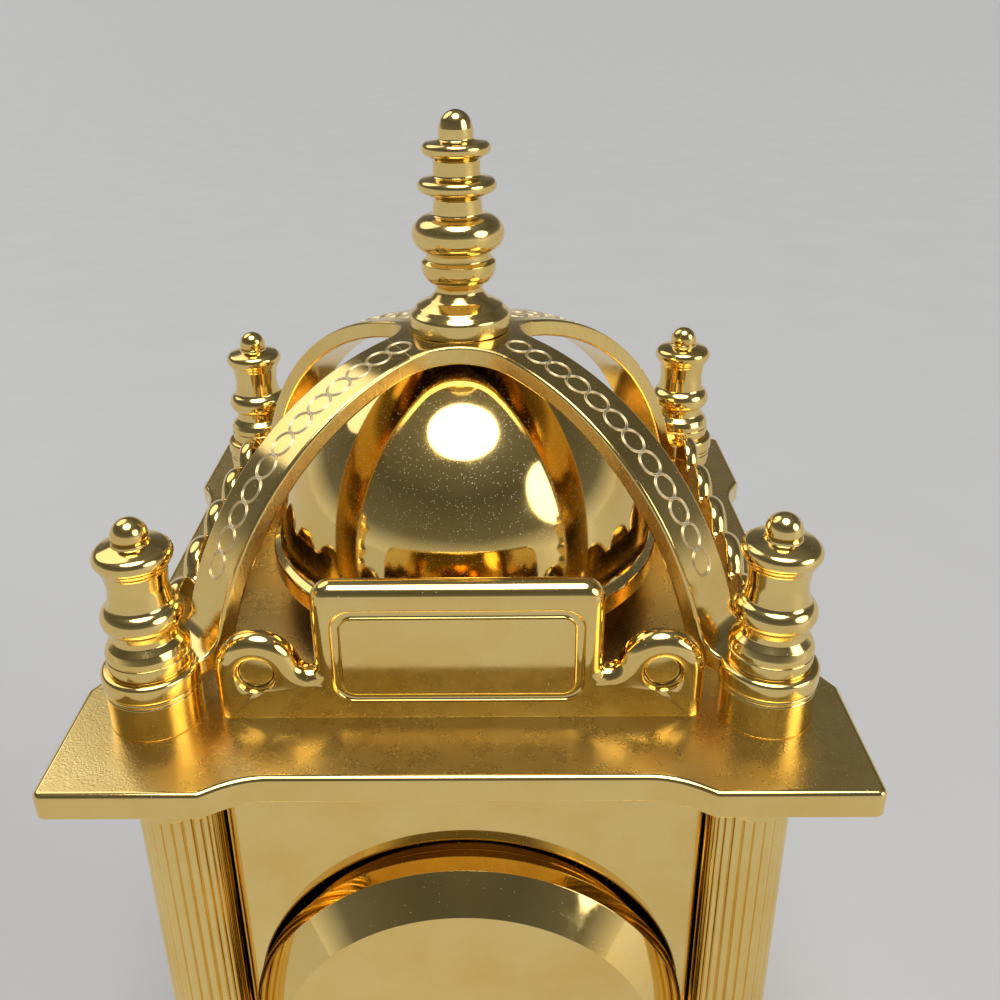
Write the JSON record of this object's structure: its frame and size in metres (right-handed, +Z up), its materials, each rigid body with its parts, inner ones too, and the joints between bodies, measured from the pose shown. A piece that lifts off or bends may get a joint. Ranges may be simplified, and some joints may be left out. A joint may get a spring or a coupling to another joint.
{
  "type": "miniature lantern clock",
  "caption": "Small gilt lantern clock: reeded corner columns, strapped bell with turned finials, pierced frets, round dial with hands and a pull-off round rear cover over the movement.",
  "frame": {"origin": "on the standing surface, under the centre of the four feet", "axes": "+Z up, the dial faces -Y, the rear cover faces +Y, +X is to the right seen from the dial"},
  "size_m": [0.0662, 0.0662, 0.1358],
  "materials": {
    "gilt_plate": "gold-plated, satin top with fine diagonal grain and polished edges",
    "gilt_column": "gold-plated, polished reeding",
    "gilt_turned": "gold-plated, polished with fine lathe lines",
    "gilt_satin": "gold-plated, satin face with fine sparkle",
    "gilt_mirror": "gold-plated, mirror polish",
    "steel": "bright steel",
    "clear_glass": "clear flat glass",
    "dial_cream": "satin cream paint with black printing",
    "hand_black": "satin black",
    "movement_plastic": "moulded pale grey",
    "gear_brass": "plain brass",
    "magnet_grey": "sintered magnet",
    "knob_grey": "moulded dark grey",
    "coil_copper": "enamelled copper winding",
    "board_green": "solder mask"
  },
  "bodies": {
    "clock": {"base_plate": "gilt_plate", "foot_front_left": "gilt_turned", "foot_front_right": "gilt_turned", "foot_rear_left": "gilt_turned", "foot_rear_right": "gilt_turned", "column_front_left": "gilt_column", "column_front_right": "gilt_column", "column_rear_left": "gilt_column", "column_rear_right": "gilt_column", "top_plate": "gilt_plate", "collar_front_left": "gilt_turned", "collar_front_right": "gilt_turned", "collar_rear_left": "gilt_turned", "collar_rear_right": "gilt_turned", "finial_front_left": "gilt_turned", "finial_front_right": "gilt_turned", "finial_rear_left": "gilt_turned", "finial_rear_right": "gilt_turned", "bell_strap": "gilt_satin", "bell": "gilt_mirror", "bell_stud": "steel", "bell_nut": "steel", "top_finial": "gilt_turned", "rear_fret": "gilt_satin", "front_fret": "gilt_satin", "left_fret": "gilt_satin", "right_fret": "gilt_satin", "fret_studs": "gilt_mirror", "rear_panel": "gilt_mirror", "front_panel": "gilt_mirror", "left_panel": "gilt_mirror", "right_panel": "gilt_mirror", "bezel": "gilt_mirror", "glass": "clear_glass", "dial": "dial_cream", "dial_screws": "steel", "fixing_nut": "steel", "movement_front": "movement_plastic", "movement_back": "movement_plastic", "train_bridge": "movement_plastic", "stator": "steel", "coil": "coil_copper", "circuit_board": "board_green", "crystal": "steel", "button_cell": "steel", "cell_contacts": "gear_brass"},
    "minute_hand_set": {"centre_arbor": "steel", "minute_hand": "hand_black"},
    "hour_hand_set": {"hour_wheel": "gear_brass", "hour_hand": "hand_black"},
    "setting_set": {"minute_wheel": "gear_brass", "setting_knob": "knob_grey"},
    "centre_wheel": {"centre_wheel": "gear_brass"},
    "third_wheel": {"third_wheel": "gear_brass"},
    "reduction_wheel": {"reduction_wheel": "gear_brass"},
    "rotor": {"rotor": "magnet_grey"},
    "rear_cover": {"rear_cover": "gilt_mirror"}
  },
  "joints": [
    {"name": "minute_turn", "type": "hinge", "parent": "clock", "child": "minute_hand_set", "pos_m": [0, -0.018, 0.049], "axis": [0, 1, 0], "continuous": true},
    {"name": "hour_turn", "type": "hinge", "parent": "clock", "child": "hour_hand_set", "pos_m": [0, -0.0195, 0.049], "axis": [0, 1, 0], "continuous": true},
    {"name": "setting_turn", "type": "hinge", "parent": "clock", "child": "setting_set", "pos_m": [0.008, -0.01, 0.049], "axis": [0, 1, 0], "continuous": true},
    {"name": "reduction_turn", "type": "hinge", "parent": "clock", "child": "reduction_wheel", "pos_m": [-0.00138, -0.0093, 0.0568], "axis": [0, 1, 0], "continuous": true},
    {"name": "rotor_turn", "type": "hinge", "parent": "clock", "child": "rotor", "pos_m": [0.00441, -0.008, 0.05469], "axis": [0, 1, 0], "continuous": true},
    {"name": "third_turn", "type": "hinge", "parent": "clock", "child": "third_wheel", "pos_m": [-0.00533, -0.0105, 0.05208], "axis": [0, 1, 0], "continuous": true},
    {"name": "centre_turn", "type": "hinge", "parent": "clock", "child": "centre_wheel", "pos_m": [0, -0.0117, 0.049], "axis": [0, 1, 0], "continuous": true},
    {"name": "cover_slide", "type": "slide", "parent": "clock", "child": "rear_cover", "axis": [0, 1, 0], "range_m": [0, 0.009]}
  ],
  "couplings": [
    {"joint": "hour_turn", "follows": "minute_turn", "ratio": 0.083333},
    {"joint": "setting_turn", "follows": "minute_turn", "ratio": -0.33333},
    {"joint": "rotor_turn", "follows": "reduction_turn", "ratio": -6},
    {"joint": "third_turn", "follows": "reduction_turn", "ratio": -0.16667},
    {"joint": "centre_turn", "follows": "reduction_turn", "ratio": 0.027778}
  ]
}
